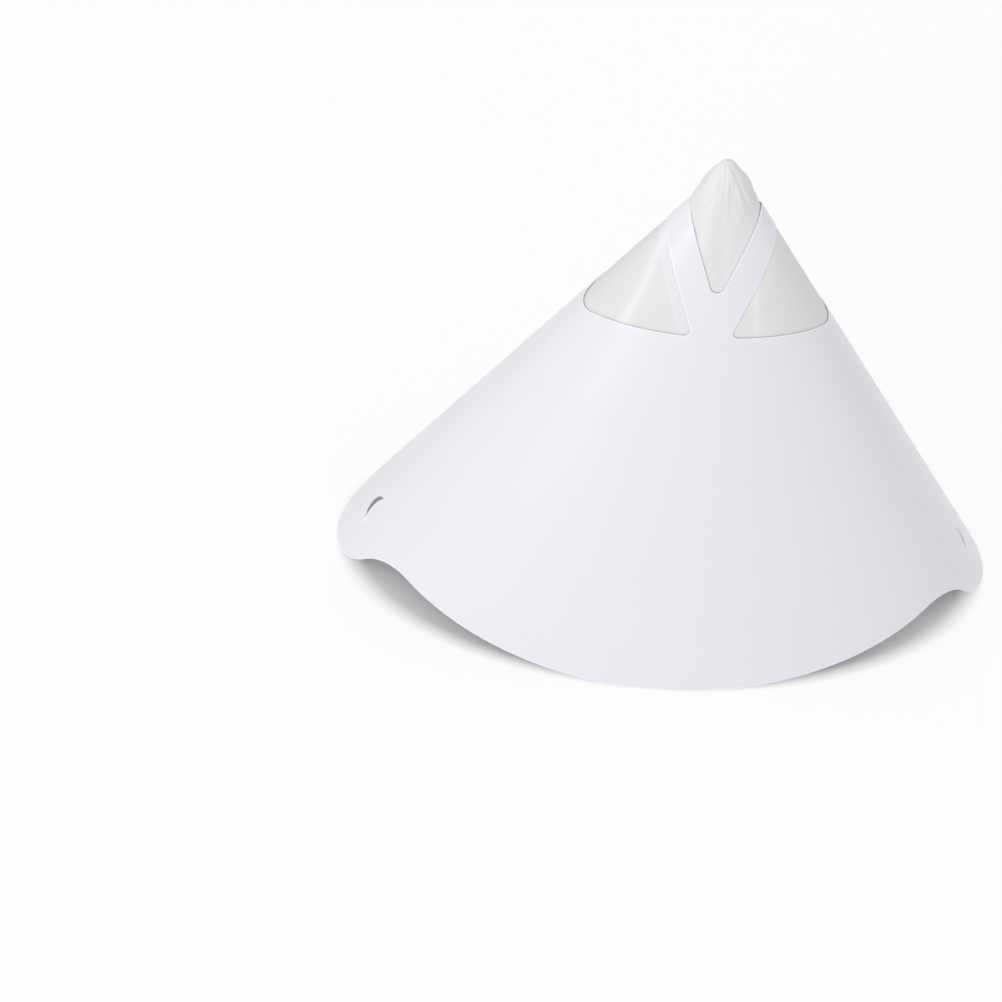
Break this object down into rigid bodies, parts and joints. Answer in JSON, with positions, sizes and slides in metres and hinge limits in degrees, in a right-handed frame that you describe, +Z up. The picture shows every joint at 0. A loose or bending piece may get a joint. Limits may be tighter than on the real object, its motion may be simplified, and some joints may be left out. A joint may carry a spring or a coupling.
{
  "type": "paint strainer",
  "caption": "Disposable cone paint strainer: a rolled card cone with two hanging ears, side and tip windows, and a fine nylon mesh tip bonded inside.",
  "frame": {"origin": "on the surface that the strainer stands on, below the tip, at the middle of the open end", "axes": "+Z up along the cone axis from the open end to the mesh tip, +X towards one hanging ear, -Y towards the front panel, +Y towards the glued seam"},
  "size_m": [0.1906, 0.1019, 0.1576],
  "materials": {
    "coated_card": "white coated card with a satin sheen",
    "nylon_mesh": "fine translucent white nylon gauze"
  },
  "bodies": {
    "root": {"paper_cone": "coated_card", "nylon_mesh": "nylon_mesh"}
  },
  "joints": []
}
